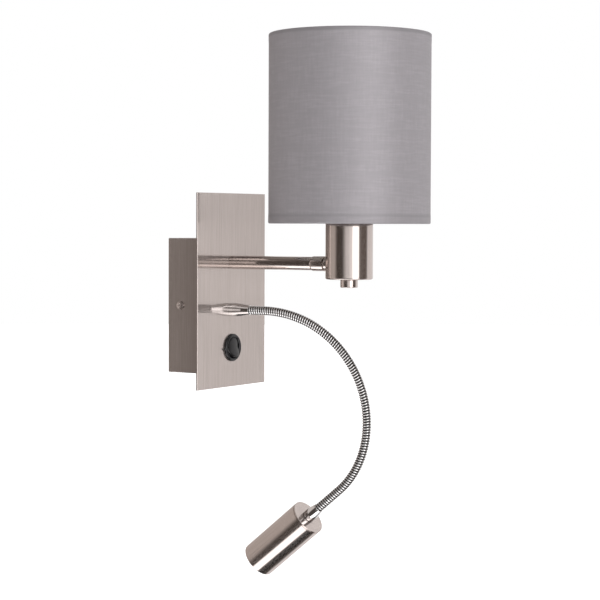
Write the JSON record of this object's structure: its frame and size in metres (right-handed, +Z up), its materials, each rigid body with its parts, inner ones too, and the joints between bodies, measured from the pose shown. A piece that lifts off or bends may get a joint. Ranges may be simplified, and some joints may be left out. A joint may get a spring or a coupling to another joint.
{
  "type": "wall-mounted bedside light",
  "caption": "Wall light with a drum shade on a straight arm, a flexible-neck reading spot and a rocker switch on a rectangular plate.",
  "frame": {"origin": "centre of the wall bracket's rear face, where it lies on the wall", "axes": "+Y into the wall, +Z up, the light faces -Y, +X to the right of someone facing it from the front"},
  "size_m": [0.13, 0.2133, 0.4386],
  "materials": {
    "satin_nickel": "brushed satin nickel plate",
    "chrome": "bright chrome plate",
    "zinc_steel": "zinc-plated steel",
    "brass": "plain brass",
    "aluminium": "turned aluminium",
    "grey_fabric": "plain-weave grey shade cloth with a slight slub",
    "white_lining": "white styrene shade lining",
    "white_enamel": "white enamelled wire",
    "black_plastic": "black moulded plastic",
    "white_plastic": "off-white moulded plastic",
    "opal_glass": "opal glass",
    "clear_plastic": "clear acrylic",
    "led_phosphor": "yellow phosphor",
    "grey_rubber": "dark grey rubber",
    "blue_wire": "blue insulation",
    "brown_wire": "brown insulation"
  },
  "bodies": {
    "root": {"arm_collar": "satin_nickel", "arm_nut": "brass", "arm_spacer": "satin_nickel", "arm_stud": "zinc_steel", "arm_tube": "satin_nickel", "arm_washer": "zinc_steel", "back_box": "satin_nickel", "box_screw_left": "satin_nickel", "box_screw_right": "satin_nickel", "bulb_cap": "aluminium", "bulb_glass": "opal_glass", "cable_grommet": "grey_rubber", "cap_nut": "satin_nickel", "cup_nipple": "zinc_steel", "cup_nut": "brass", "cup_stud": "zinc_steel", "cup_stud_nut": "brass", "driver_lead": "blue_wire", "earth_screw": "brass", "front_plate": "satin_nickel", "holder_cup": "satin_nickel", "lamp_socket": "black_plastic", "led_driver": "white_plastic", "neck_link_01": "chrome", "neck_nut": "brass", "neck_stud": "zinc_steel", "neck_washer": "zinc_steel", "root_ferrule": "chrome", "shade_carrier": "white_enamel", "shade_fabric": "grey_fabric", "shade_lining": "white_lining", "shade_ring_nut": "black_plastic", "shade_top_ring": "white_enamel", "socket_contact": "brass", "socket_shell": "brass", "switch_housing": "black_plastic", "switch_lead": "brown_wire", "switch_tab_left": "brass", "switch_tab_right": "brass", "terminal_block": "white_plastic", "wall_bracket": "zinc_steel"},
    "rocker": {"switch_rocker": "black_plastic"},
    "neck_2": {"neck_link_02": "chrome"},
    "neck_3": {"neck_link_03": "chrome"},
    "neck_4": {"neck_link_04": "chrome"},
    "neck_5": {"neck_link_05": "chrome"},
    "neck_6": {"neck_link_06": "chrome"},
    "neck_7": {"neck_link_07": "chrome"},
    "neck_8": {"neck_link_08": "chrome"},
    "neck_9": {"neck_link_09": "chrome"},
    "spot": {"neck_link_10": "chrome", "tip_ferrule": "chrome", "head_stud": "zinc_steel", "head_nut": "brass", "head_barrel": "satin_nickel", "heat_sink": "aluminium", "led_board": "white_plastic", "led_chip": "led_phosphor", "spot_lens": "clear_plastic", "lens_ring": "black_plastic"}
  },
  "joints": [
    {"name": "switch_rock", "type": "hinge", "parent": "root", "child": "rocker", "pos_m": [0, -0.0372, -0.0357], "axis": [1, 0, 0], "range_deg": [0, 20]},
    {"name": "neck_lift_1", "type": "hinge", "parent": "root", "child": "neck_2", "pos_m": [0, -0.07928, -0.00488], "axis": [-1, 0, 0], "range_deg": [-2, 16]},
    {"name": "neck_swing_2", "type": "hinge", "parent": "neck_2", "child": "neck_3", "pos_m": [0, -0.10317, -0.01007], "axis": [0, -0.324, 0.946], "range_deg": [-13, 13]},
    {"name": "neck_lift_3", "type": "hinge", "parent": "neck_3", "child": "neck_4", "pos_m": [0, -0.12515, -0.02074], "axis": [-1, 0, 0], "range_deg": [-2, 16]},
    {"name": "neck_swing_4", "type": "hinge", "parent": "neck_4", "child": "neck_5", "pos_m": [0, -0.14371, -0.03663], "axis": [0, -0.7461, 0.6658], "range_deg": [-13, 13]},
    {"name": "neck_lift_5", "type": "hinge", "parent": "neck_5", "child": "neck_6", "pos_m": [0, -0.15726, -0.05694], "axis": [-1, 0, 0], "range_deg": [-2, 16]},
    {"name": "neck_swing_6", "type": "hinge", "parent": "neck_6", "child": "neck_7", "pos_m": [0, -0.16438, -0.08029], "axis": [0, -0.9897, 0.143], "range_deg": [-13, 13]},
    {"name": "neck_aim_7", "type": "hinge", "parent": "neck_7", "child": "neck_8", "pos_m": [0, -0.16401, -0.10468], "axis": [-1, 0, 0], "range_deg": [-6, 18]},
    {"name": "neck_swing_8", "type": "hinge", "parent": "neck_8", "child": "neck_9", "pos_m": [0, -0.15579, -0.12764], "axis": [0, -0.8706, -0.492], "range_deg": [-13, 13]},
    {"name": "neck_aim_9", "type": "hinge", "parent": "neck_9", "child": "spot", "pos_m": [0, -0.14026, -0.14642], "axis": [-1, 0, 0], "range_deg": [-6, 18]}
  ],
  "couplings": [
    {"joint": "neck_lift_3", "follows": "neck_lift_1", "ratio": 1},
    {"joint": "neck_swing_4", "follows": "neck_swing_2", "ratio": 1},
    {"joint": "neck_lift_5", "follows": "neck_lift_1", "ratio": 1},
    {"joint": "neck_swing_6", "follows": "neck_swing_2", "ratio": 1},
    {"joint": "neck_swing_8", "follows": "neck_swing_2", "ratio": 1},
    {"joint": "neck_aim_9", "follows": "neck_aim_7", "ratio": 1}
  ]
}
